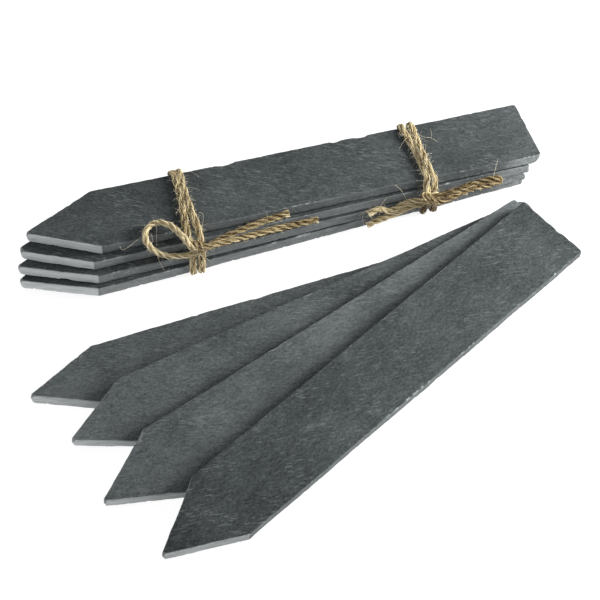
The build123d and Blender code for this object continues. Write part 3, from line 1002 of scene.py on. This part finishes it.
# %% Make the slate finish
SLATE_DARK = (0.021, 0.0245, 0.0252, 1)
SLATE_MID = (0.0515, 0.059, 0.0598, 1)
SLATE_LIGHT = (0.114, 0.126, 0.128, 1)
SLATE_RUB = (0.165, 0.178, 0.18, 1)
SLATE_CUT = (0.48, 0.505, 0.51, 1)
SLATE_STOPS = [(0.2, SLATE_DARK), (0.5, SLATE_MID), (0.9, SLATE_LIGHT)]
GRAIN_WAVES = (160.0, 520.0, 620.0)
SPECK_WAVES = (800.0, 1250.0, 1250.0)
DASH_WAVES = (330.0, 2200.0, 900.0)
DASH_TURN = math.radians(-30.0)
STROKE_WAVES = (150.0, 150.0, 1500.0)
GRAIN_WEIGHT = 0.45
CLOUD_WEIGHT = 0.58
SPECK_WEIGHT = 1.12
DASH_WEIGHT = 0.38
SLATE_DARKENING = 0.76
PATCH_WEIGHT = 0.5
RUB_RANGE = (0.83, 1.0)
RUB_STRENGTH = 0.52
STROKE_LEAST = 0.3
STROKE_RANGE = 1.35
SLATE_ROUGHNESS = 0.70
SPECK_ROUGHNESS = 0.16
CUT_ROUGHNESS = 0.1
SLATE_GLOSS = 0.1
SLATE_BUMP = 0.6
SLATE_RELIEF = 0.2 * MM
GRAIN_RISE = 0.6
SPECK_RISE = 0.6
DASH_RISE = 0.15


def mixed(tree, share, first, second):
    """A blend of two colours."""
    made = add_node(tree, "ShaderNodeMix", data_type="RGBA")
    for index, value in ((0, share), (6, first), (7, second)):
        plug(tree, made.inputs[index], value)
    return made.outputs[2]


def slate_finish():
    """Dark riven faces with grain and rubs, and paler cut edges."""
    material, tree, shader = new_material("riven_slate")
    place = add_node(tree, "ShaderNodeAttribute", attribute_name="slate_place").outputs["Vector"]
    cut = attribute(tree, "slate_cut")
    parts = split(tree, place)
    along, across, height = parts
    turned = (
        along * math.cos(DASH_TURN) + across * math.sin(DASH_TURN),
        across * math.cos(DASH_TURN) - along * math.sin(DASH_TURN),
        height,
    )
    cloud = noise(tree, place, seed=1.0, scale=42.0, detail=3.0)
    patch = noise(tree, place, seed=9.0, scale=70.0, detail=2.0)
    grain = noise(tree, streaked(tree, parts, GRAIN_WAVES), seed=2.0, detail=3.0, roughness=0.6)
    speck = noise(tree, streaked(tree, parts, SPECK_WAVES), seed=5.0, detail=3.0, roughness=0.72)
    dashes = noise(tree, streaked(tree, turned, DASH_WAVES), seed=7.0)
    strokes = noise(tree, streaked(tree, parts, STROKE_WAVES), seed=11.0, detail=3.0)

    worth = grain * GRAIN_WEIGHT + cloud * CLOUD_WEIGHT + speck * SPECK_WEIGHT + dashes * DASH_WEIGHT
    # The face tone from the shape step is partly the stone's own tone and partly painted light and shade
    # along the stake
    worth = worth + attribute(tree, "slate_tone") - SLATE_DARKENING
    rub = (dashes + patch * PATCH_WEIGHT).ramp(*RUB_RANGE) * RUB_STRENGTH
    face = mixed(tree, rub, colour_ramp(tree, worth, SLATE_STOPS), SLATE_RUB)
    fresh = (cut * (STROKE_LEAST + strokes * STROKE_RANGE)).least(1.0)
    plug(tree, shader.inputs["Base Color"], mixed(tree, fresh, face, SLATE_CUT))
    rough = SLATE_ROUGHNESS + speck * SPECK_ROUGHNESS + cut * CUT_ROUGHNESS
    plug(tree, shader.inputs["Roughness"], rough)
    shader.inputs["Specular IOR Level"].default_value = SLATE_GLOSS
    relief = grain * GRAIN_RISE + speck * SPECK_RISE + dashes * DASH_RISE
    bump = {"Strength": SLATE_BUMP, "Distance": SLATE_RELIEF, "Height": relief}
    plug(tree, shader.inputs["Normal"], result(tree, "ShaderNodeBump", bump))
    return material


SLATE = slate_finish()
print("finish", SLATE.name)


# %% [markdown]
# ## Shape: the outline of a stake
# A stake is split from a block of slate and cut to a point. A plain slab with its corners cut off would have
# no points on its faces to move, so a tree starts from a finely divided block and bends it to the outline.
# Every point gets its place along, across and above the underside, crowded towards the edges, where the
# detail is, and its distance from every edge is kept for the wear that follows.

# %% Bend a block to the outline
CROWDING = 0.82
LEVEL_CROWDING = 0.5
NOSE_REACH = 6.0 * MM
UPPER_NOSE_SHARE = 0.45
Outline = namedtuple("Outline", "share along straight across height upper off_middle far tip lean steep "
                     "side_gap end_gap gap face_gap on_end on_nose")


def crowded(share):
    """Moves evenly spaced places from 0 to 1 towards both ends."""
    return share - (share * math.tau).sine() * (CROWDING / math.tau)


def outline(tree, given):
    """Where each point of a block lies on a stake, and how far it is from the edges and the nearer face."""
    x, y, z = split(tree, here(tree))
    length, width, thickness = given["Length"], given["Width"], given["Thickness"]

    # Along from the sharp point, across from the middle line, height from the underside
    share = x + 0.5
    level = z + 0.5 + (z * math.tau).sine() * (LEVEL_CROWDING / math.tau)
    height = level * thickness
    upper = z.over(0.0)
    straight = crowded(share) * (length - given["Nose"])

    # The point is worn blunt, and its end bows out between the two faces
    off_middle = level * 2.0 - 1.0
    bow = 1.0 - (1.0 - off_middle * off_middle).math("SQRT")
    worn = given["Nose Wear"] + given["Nose Bow"] * bow * (1.0 - upper * (1.0 - UPPER_NOSE_SHARE))
    along = straight + given["Nose"] + worn * (1.0 - straight.ramp(0.0, NOSE_REACH))
    far = y.over(0.0)
    tip = given["Near Tip"] + (given["Far Tip"] - given["Near Tip"]) * far
    reach = (along / tip).least(1.0) * width * 0.5
    across = (y * 2.0 + (y * math.tau).sine() * (CROWDING / math.pi)) * reach

    # Distances to the outline and to the nearer face, and which part of the outline is nearest
    lean = along.under(tip) * width * 0.5 / tip
    steep = (lean * lean + 1.0).math("INVERSE_SQRT")
    side_gap = (reach - across.math("ABSOLUTE")) * steep
    end_gap = length - along
    gap = side_gap.least(end_gap).least(straight)
    face_gap = height.least(thickness - height)
    on_end = end_gap.under(side_gap) * end_gap.under(straight)
    on_nose = straight.under(side_gap) * straight.under(end_gap)
    return Outline(share, along, straight, across, height, upper, off_middle, far, tip, lean, steep,
                   side_gap, end_gap, gap, face_gap, on_end, on_nose)


# %% [markdown]
# ## Shape: worn arrises and riven faces
# Slate splits along thin layers, so its faces rise and fall in steps and grain, and handling rounds its
# arrises and corners. Bump in the finish alone would leave the outline ruler-straight, so noise moves the
# points themselves: the faces are let down, the arrises rounded, and the edges sway by a fraction of a
# millimetre.

# %% Wear the faces and the edges
LEAST = 1e-6
ARRIS_LEAST = 0.1
ARRIS_RANGE = 1.8
FACES_APART = 0.05
LAYER_WAVES = (42.0, 90.0)
LAYER_STEPS = ((0.44, 0.47), (0.58, 0.60))
RIVEN_WAVES = (170.0, 560.0)
SWELL_SHARE = 0.8
LAYER_SHARE = 0.55
RIVEN_SHARE = 0.75
LEVEL_START = 0.45
UNDER_RELIEF_SHARE = 0.3
EDGE_WAVES = (260.0, 260.0, 700.0)
EDGE_REACH = 0.9 * MM
SWAY_REACH = 5.0 * MM
SWAY_MIDDLE = 0.55
Wear = namedtuple("Wear", "inset sink side_tuck end_tuck")


def wear(tree, given, at):
    """How far each point moves in from the outline and from its face."""
    seed = given["Seed"]
    plane = (at.along, at.across)
    spot = joined(tree, *plane)

    # Round the corners of the square end in plan: a square patch becomes a quarter disc
    by_side = (given["Corner"] - at.side_gap).most(0.0)
    by_end = (given["Corner"] - at.end_gap).most(0.0)
    bent = by_side.most(by_end) / (by_side * by_side + by_end * by_end).math("SQRT").most(LEAST)
    tuck = (1.0 - bent) * by_side.over(0.0) * by_end.over(0.0)

    # Round the arris: points in the square corner move to the nearest point of its arc
    ridge = joined(tree, *plane, at.upper * FACES_APART)
    unevenness = noise(tree, ridge, seed=seed + 80.0, scale=380.0, detail=3.0)
    radius = given["Arris"] * (unevenness * ARRIS_RANGE + ARRIS_LEAST)
    in_gap = (at.gap - radius).least(0.0)
    in_face = (at.face_gap - radius).least(0.0)
    corner = at.gap.under(radius) * at.face_gap.under(radius)
    pull = radius / (in_gap * in_gap + in_face * in_face).math("SQRT").most(LEAST)
    inset = corner * (radius + in_gap * pull - at.gap)
    drop = corner * (radius + in_face * pull - at.face_gap)

    # Let the faces down by swells, layers and grain
    swell = noise(tree, spot, seed=seed + at.upper * 7.0, scale=26.0, detail=2.0)
    layer = noise(tree, streaked(tree, plane, LAYER_WAVES), seed=seed + at.upper * 5.0 + 20.0, detail=3.0)
    first_step, second_step = (layer.ramp(*edges) for edges in LAYER_STEPS)
    steps = first_step * 0.5 + second_step * 0.5
    grain = noise(tree, streaked(tree, plane, RIVEN_WAVES), seed=seed + at.upper * 3.0 + 40.0, detail=3.0,
                  roughness=0.6)
    fall = (swell * SWELL_SHARE + steps * LAYER_SHARE + grain * RIVEN_SHARE - LEVEL_START).most(0.0)
    fall = given["Relief"] * fall * at.off_middle.math("ABSOLUTE")
    sink = drop + fall * (UNDER_RELIEF_SHARE + at.upper * (1.0 - UNDER_RELIEF_SHARE))

    # Let the cut edges in and out by their roughness and sway
    rough = noise(tree, streaked(tree, (*plane, at.height), EDGE_WAVES), seed=seed + 60.0, detail=3.0)
    sway = noise(tree, spot, seed=seed + 70.0, scale=45.0, detail=3.0)
    inset = inset + given["Roughness"] * (rough - 0.5) * (1.0 - at.gap.ramp(0.0, EDGE_REACH))
    inset = inset + given["Sway"] * (sway - SWAY_MIDDLE) * (1.0 - at.gap.ramp(0.0, SWAY_REACH))
    return Wear(inset, sink, by_side * tuck, by_end * tuck)


# %% [markdown]
# ## Shape: the flakes along the edges
# Flakes come off along the arrises when slate is trimmed. A flake's surface is part of a large ball, so each
# is given as a ball that bites into an arris, and the tree pushes the points inside it out to its surface. A
# boolean for each would be slow and leave ragged faces. The large scars are listed one by one where they
# show;
# the small ones are drawn at random along every edge, with a fixed seed, a size and a bite for each.

# %% Helpers that flake the edges
Scar = namedtuple("Scar", "edge share radius bite side")
EDGES = ("near_tip", "near", "end", "far", "far_tip")
TOP, UNDER = 1, 0
FLAKES_PER_MM = 0.6
FLAKE_RADIUS = (0.8, 3.4)
FLAKE_BITE = (0.05, 0.42)
UNDER_SHARE = 0.5
BREAK_ROUGHNESS = 0.8 * MM
FLAKE_PALENESS = 0.42


def slab_corners(slab):
    """The five corners of a stake in its own plane, from the point round by the near side."""
    half, side = slab.length / 2, slab.width / 2
    return [
        Vector((-half, 0, 0)), Vector((-half + slab.near_tip, -side, 0)), Vector((half, -side, 0)),
        Vector((half, side, 0)), Vector((-half + slab.far_tip, side, 0)),
    ]


def ball_at(slab, scar):
    """Centre of the ball that a scar's surface belongs to."""
    corners = slab_corners(slab)
    index = EDGES.index(scar.edge)
    start, end = corners[index], corners[(index + 1) % len(corners)]
    run = (end - start).normalized()
    arris = start.lerp(end, scar.share) + Vector((0, 0, slab.thickness * scar.side))
    outward = Vector((run.y, -run.x, 1 if scar.side == TOP else -1)).normalized()
    return arris + outward * (scar.radius - scar.bite) * MM


def ball_cloud(name, slab, scars):
    """The balls of a list of scars, as points that carry their radius."""
    mesh = bpy.data.meshes.new(name)
    mesh.from_pydata([ball_at(slab, scar) for scar in scars], [], [])
    radii = mesh.attributes.new("ball_radius", "FLOAT", "POINT")
    for index, scar in enumerate(scars):
        radii.data[index].value = scar.radius * MM
    return shown(name, mesh)


def random_flakes(slab, seed):
    """Small flakes along all five edges."""
    draw = random.Random(seed)
    corners = slab_corners(slab)
    flakes = []
    for index, edge in enumerate(EDGES):
        run = (corners[(index + 1) % len(corners)] - corners[index]).length / MM
        for _ in range(int(run * FLAKES_PER_MM)):
            side = UNDER if draw.random() < UNDER_SHARE else TOP
            size = draw.random() ** 2
            radius = FLAKE_RADIUS[0] + (FLAKE_RADIUS[1] - FLAKE_RADIUS[0]) * size
            bite = FLAKE_BITE[0] + (FLAKE_BITE[1] - FLAKE_BITE[0]) * draw.random() ** 2
            flakes.append(Scar(edge, draw.random(), radius, bite, side))
    return flakes


def pushed_in(tree, shape, flakes):
    """Carves the nearest flake's ball out of the shape and marks the fresh surface."""
    spots = shape_of(tree, flakes)
    spot = here(tree)
    nearest = result(tree, "GeometryNodeSampleNearest", {"Geometry": spots, "Sample Position": spot})
    centre = result(tree, "GeometryNodeSampleIndex",
                    {"Geometry": spots, "Value": spot, "Index": nearest}, data_type="FLOAT_VECTOR")
    ball = Field(tree, result(tree, "GeometryNodeSampleIndex", {
        "Geometry": spots, "Value": stored(tree, "ball_radius"), "Index": nearest,
    }))
    ball = ball + (noise(tree, spot, seed=4.0, scale=620.0) - 0.5) * BREAK_ROUGHNESS
    away = vector_math(tree, "SUBTRACT", {0: spot, 1: centre})
    gap = Field(tree, vector_math(tree, "LENGTH", {0: away}, "Value"))
    inside = gap.under(ball)
    out = vector_math(tree, "SCALE", {0: away, "Scale": ball / gap - 1.0})
    paleness = stored(tree, "slate_cut").most(inside * FLAKE_PALENESS)
    marked = with_number(tree, shape, "slate_cut", paleness)
    return result(tree, "GeometryNodeSetPosition", {0: marked, "Selection": inside, "Offset": out})


# %% [markdown]
# ## Shape: a whole stake
# One tree now makes any of the eight stakes from its numbers: the block is bent, worn and flaked. On the way
# it leaves three things on the mesh for the finish: how pale each cut edge is, with some painted shade in it,
# the tone of the face, partly the stone's own and partly painted light and shade, and the place on the stake,
# shifted by the seed so that no two stakes have the same pattern.

# %% Build the tree that makes a stake
STAKE_NUMBERS = (
    "Length", "Width", "Thickness", "Near Tip", "Far Tip", "Nose", "Nose Wear", "Nose Bow", "Corner", "Arris",
    "Relief", "Roughness", "Sway", "Edge Paleness", "End Paleness", "Tip Paleness", "Tip Fade", "Tip Tone",
    "Middle Tone", "End Tone", "Seed",
)
CELLS_ALONG = 420
CELLS_ACROSS = 46
CELLS_THICK = 8
SIDE_CUT_REACH = 0.2 * MM
TIP_CUT_REACH = 0.25 * MM
EDGE_PAINTED_SHADE = 0.75
NOSE_FADE = 0.6
END_CUT = (0.915, 0.955)
END_FACE_FADE = 0.5
PATTERN_SHIFT = (0.37, 0.11)


def cut_paleness(given, at):
    """How pale a point is from being cut: most at the tip, and less along the sides. Painted shade lets the
    sides fade towards the square end and the tip cut towards its shoulders.
    """
    on_tip = at.along.under(at.tip)
    # The sides grow less pale towards the square end: painted shade where the main light is close and bright
    sides = given["Edge Paleness"] * (1.0 - at.share * EDGE_PAINTED_SHADE)
    end = given["End Paleness"] * (at.along / given["Length"]).ramp(*END_CUT)
    sides = sides + end * (1.0 - at.on_end * END_FACE_FADE)
    tip = given["Tip Paleness"] * (1.0 - at.on_nose * NOSE_FADE)
    # The tip cut darkens from the nose to the shoulders: painted shade from the stake that lies over it
    tip = tip * (1.0 - given["Tip Fade"] * at.along / at.tip)
    fresh = on_tip * tip + (1.0 - on_tip) * sides
    reach = SIDE_CUT_REACH + on_tip * (1.0 - at.far) * TIP_CUT_REACH
    return (1.0 - at.gap / reach).most(0.0).math("SQRT") * fresh


def face_tone_and_light(given, at):
    """The tone of the face, partly the stone's own and partly painted light and shade: an even change from
    the tip to the square end, with a hump in the middle.
    """
    tone = given["Tip Tone"] + (given["End Tone"] - given["Tip Tone"]) * at.share
    return tone + given["Middle Tone"] * at.share * (1.0 - at.share) * 4.0


def stake_tree():
    """A pointed slab with riven faces, rounded arrises and flaked edges, along X with its point at -X."""
    tree, given = new_tree("riven_slate_stake", {
        **dict.fromkeys(STAKE_NUMBERS, "number"), "Scars": "object", "Flakes": "object",
        "Material": "material",
    })
    block = result(tree, "GeometryNodeMeshCube", {
        "Size": (1, 1, 1), "Vertices X": CELLS_ALONG + 1, "Vertices Y": CELLS_ACROSS + 1,
        "Vertices Z": CELLS_THICK + 1,
    })
    at = outline(tree, given)
    worn = wear(tree, given, at)

    # The new place of every point
    on_side = 1.0 - at.on_end - at.on_nose
    inward = at.far * -2.0 + 1.0
    along = at.along - worn.inset * at.on_end + worn.inset * at.on_nose
    along = along + worn.inset * on_side * at.lean * at.steep - given["Length"] * 0.5 - worn.end_tuck
    across = at.across + inward * (worn.inset * on_side * at.steep + worn.side_tuck)
    height = at.height + worn.sink * (1.0 - at.upper * 2.0)

    # Leave the numbers for the finish, then move the points and push in the flakes
    current = with_number(tree, block, "slate_cut", cut_paleness(given, at))
    current = with_number(tree, current, "slate_tone", face_tone_and_light(given, at))
    along_shift, across_shift = (given["Seed"] * shift for shift in PATTERN_SHIFT)
    shifted = joined(tree, along + along_shift, across + across_shift, height)
    current = result(tree, "GeometryNodeStoreNamedAttribute",
                     {"Geometry": current, "Name": "slate_place", "Value": shifted},
                     domain="POINT", data_type="FLOAT_VECTOR")
    current = result(tree, "GeometryNodeSetPosition",
                     {0: current, "Position": joined(tree, along, across, height)})
    for chips in ("Scars", "Flakes"):
        current = pushed_in(tree, current, given[chips])
    end_tree(tree, result(tree, "GeometryNodeSetShadeSmooth", {0: current}), given["Material"])
    return tree


STAKE_TREE = stake_tree()
print(STAKE_TREE.name, len(STAKE_TREE.nodes), "nodes")


# %% [markdown]
# ## The stakes
# No two stakes are alike: some points are worn, some corners are gone, and the faces are darker here and
# paler there, partly in the stone's own tone and partly as painted light and shade. One shape for all would
# show at once, so every stake has its own look, written as what differs from the usual one, and its own
# scars. Sizes are in millimetres; the tones are those of the point, of the middle beyond an even change, and
# of the square end.

# %% Make the stakes
ARRIS_RADIUS = 0.28 * MM
RELIEF = 0.34 * MM
EDGE_ROUGHNESS = 0.5 * MM
EDGE_SWAY = 0.9 * MM
Look = namedtuple("Look", "scars tones nose_wear nose_bow corner edge_pale end_pale tip_pale tip_fade",
                  defaults=((0.02, 0.0, -0.16), 0.0, 1.7, 1.1, 0.18, 0.0, 1.0, 0.0))
LOOKS = {
    "tied_stake_1": Look(
        tones=(-0.06, 0.0, 0.04), edge_pale=0.2, end_pale=0.26,
        scars=[
            Scar("end", 0.05, 9.0, 2.4, UNDER), Scar("near", 0.95, 24.0, 1.3, UNDER),
            Scar("far", 0.37, 9.0, 0.9, TOP), Scar("far", 0.43, 6.0, 0.7, TOP),
            Scar("far", 0.69, 12.0, 0.9, TOP), Scar("far_tip", 0.30, 6.0, 0.45, TOP),
            Scar("far_tip", 0.55, 7.0, 0.5, TOP),
        ],
    ),
    "tied_stake_2": Look(
        nose_wear=1.0, edge_pale=0.36, end_pale=0.2,
        scars=[
            Scar("end", 0.08, 6.0, 1.0, TOP), Scar("near", 0.86, 14.0, 0.7, UNDER),
        ],
    ),
    "tied_stake_3": Look(
        edge_pale=0.3, end_pale=0.16,
        scars=[
            Scar("end", 0.04, 7.0, 1.6, TOP), Scar("near_tip", 0.60, 9.0, 0.5, UNDER),
        ],
    ),
    "tied_stake_4": Look(
        edge_pale=0.34, end_pale=0.16,
        scars=[
            Scar("end", 0.06, 6.0, 1.6, TOP), Scar("near", 0.47, 12.0, 0.6, TOP),
        ],
    ),
    "loose_stake_1": Look(
        tones=(-0.25, 0.17, -0.1), nose_bow=0.9, corner=0.5, tip_pale=0.7, tip_fade=0.1,
        scars=[
            Scar("end", 0.60, 3.0, 0.5, TOP), Scar("end", 0.41, 3.0, 0.6, TOP),
            Scar("far", 0.44, 12.0, 0.5, TOP), Scar("far", 0.07, 5.0, 0.35, TOP),
            Scar("far", 0.26, 6.0, 0.4, TOP), Scar("far", 0.31, 4.0, 0.3, TOP),
            Scar("far_tip", 0.50, 9.0, 0.4, TOP),
        ],
    ),
    "loose_stake_2": Look(
        tones=(0.06, 0.0, 0.3), nose_bow=0.7, tip_pale=0.8, tip_fade=0.65,
        scars=[
            Scar("far", 0.66, 12.0, 0.5, TOP), Scar("far_tip", 0.12, 6.0, 1.0, TOP),
            Scar("near_tip", 0.75, 8.0, 0.5, TOP),
        ],
    ),
    "loose_stake_3": Look(
        tones=(0.36, -0.2, 0.18), nose_bow=1.2, corner=4.0, tip_pale=0.85, tip_fade=0.65,
        scars=[
            Scar("far", 0.55, 10.0, 0.5, TOP), Scar("far_tip", 0.40, 9.0, 0.4, TOP),
        ],
    ),
    "loose_stake_4": Look(
        tones=(0.14, 0.06, -0.1), tip_pale=0.88, tip_fade=0.65,
        scars=[
            Scar("far", 0.62, 12.0, 0.5, TOP), Scar("far_tip", 0.75, 5.0, 0.4, TOP),
            Scar("far_tip", 0.45, 5.0, 0.4, TOP), Scar("far_tip", 0.22, 5.0, 0.4, TOP),
        ],
    ),
}


def make_stake(slab, seed):
    """One slate stake in the place of its solid."""
    look = LOOKS[slab.name]
    tip_tone, middle_tone, end_tone = look.tones
    scars = ball_cloud(slab.name + "_scars", slab, look.scars)
    flakes = ball_cloud(slab.name + "_flakes", slab, random_flakes(slab, seed))
    mesh = grown_mesh(slab.name + "_riven", STAKE_TREE, {
        "Length": slab.length, "Width": slab.width, "Thickness": slab.thickness,
        "Near Tip": slab.near_tip, "Far Tip": slab.far_tip, "Nose": slab.nose,
        "Nose Wear": look.nose_wear * MM, "Nose Bow": look.nose_bow * MM, "Corner": look.corner * MM,
        "Arris": ARRIS_RADIUS, "Relief": RELIEF, "Roughness": EDGE_ROUGHNESS, "Sway": EDGE_SWAY,
        "Edge Paleness": look.edge_pale, "End Paleness": look.end_pale,
        "Tip Paleness": look.tip_pale, "Tip Fade": look.tip_fade,
        "Tip Tone": tip_tone, "Middle Tone": middle_tone, "End Tone": end_tone,
        "Seed": float(seed), "Scars": scars, "Flakes": flakes, "Material": SLATE,
    })
    bpy.data.objects.remove(scars)
    bpy.data.objects.remove(flakes)
    axes = Matrix((slab.along, slab.across, slab.up)).transposed().to_4x4()
    mesh.transform(Matrix.Translation(slab.middle) @ axes)
    piece = shown(slab.name + "_riven", mesh)
    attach(piece, slab.name)
    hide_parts(slab.name)
    return piece


for number, slab in enumerate(SLABS.values()):
    piece = make_stake(slab, number + 1)
    print(piece.name, len(piece.data.polygons), "faces")


# %% [markdown]
# ## Floor and light
# The ground in the picture is white, and it lights the cut edges from below. Lamps strong enough to whiten a
# floor would also bleach the slate, so this pale floor glows by itself, like a light table. The main light
# stands low and close by at the right, so the left side of every edge and strand falls into shade, and an
# even surround keeps the shadows faint.

# %% Set the floor and the light
WHITE = (1, 1, 1, 1)
FLOOR_SIDE = 6.0
FLOOR_COLOUR = (0.2, 0.2, 0.2, 1)
FLOOR_ROUGHNESS = 0.9
FLOOR_GLOW = 0.9
SURROUND = 0.46
Light = namedtuple("Light", "name place size power")
LIGHTS = [
    Light("right", place=(0.5, -0.03, 0.19), size=0.2, power=7.6),
    Light("front_left", place=(-1.1, -0.55, 0.35), size=0.8, power=3.4),
]


def set_floor():
    """A plain pale floor under the set."""
    half = FLOOR_SIDE / 2
    corners = [(-half, -half, 0), (half, -half, 0), (half, half, 0), (-half, half, 0)]
    mesh = bpy.data.meshes.new("floor")
    mesh.from_pydata(corners, [], [(0, 1, 2, 3)])
    material, _, shader = new_material("floor_white")
    shader.inputs["Base Color"].default_value = FLOOR_COLOUR
    shader.inputs["Roughness"].default_value = FLOOR_ROUGHNESS
    shader.inputs["Emission Color"].default_value = WHITE
    shader.inputs["Emission Strength"].default_value = FLOOR_GLOW
    mesh.materials.append(material)
    shown("floor", mesh)


def set_light(light):
    """A soft square light that faces the set."""
    lamp = bpy.data.lights.new(light.name, "AREA")
    lamp.size = light.size
    lamp.energy = light.power
    holder = bpy.data.objects.new(light.name, lamp)
    holder.location = light.place
    holder.rotation_euler = (-Vector(light.place)).to_track_quat("-Z", "Y").to_euler()
    bpy.context.scene.collection.objects.link(holder)


def set_surround():
    """An even white surround."""
    world = bpy.data.worlds.new("surround")
    world.use_nodes = True
    background = world.node_tree.nodes["Background"]
    background.inputs["Color"].default_value = WHITE
    background.inputs["Strength"].default_value = SURROUND
    bpy.context.scene.world = world


set_floor()
set_surround()
for light in LIGHTS:
    set_light(light)
bpy.context.scene.view_settings.view_transform = "Standard"
print("lights", [light.name for light in LIGHTS])
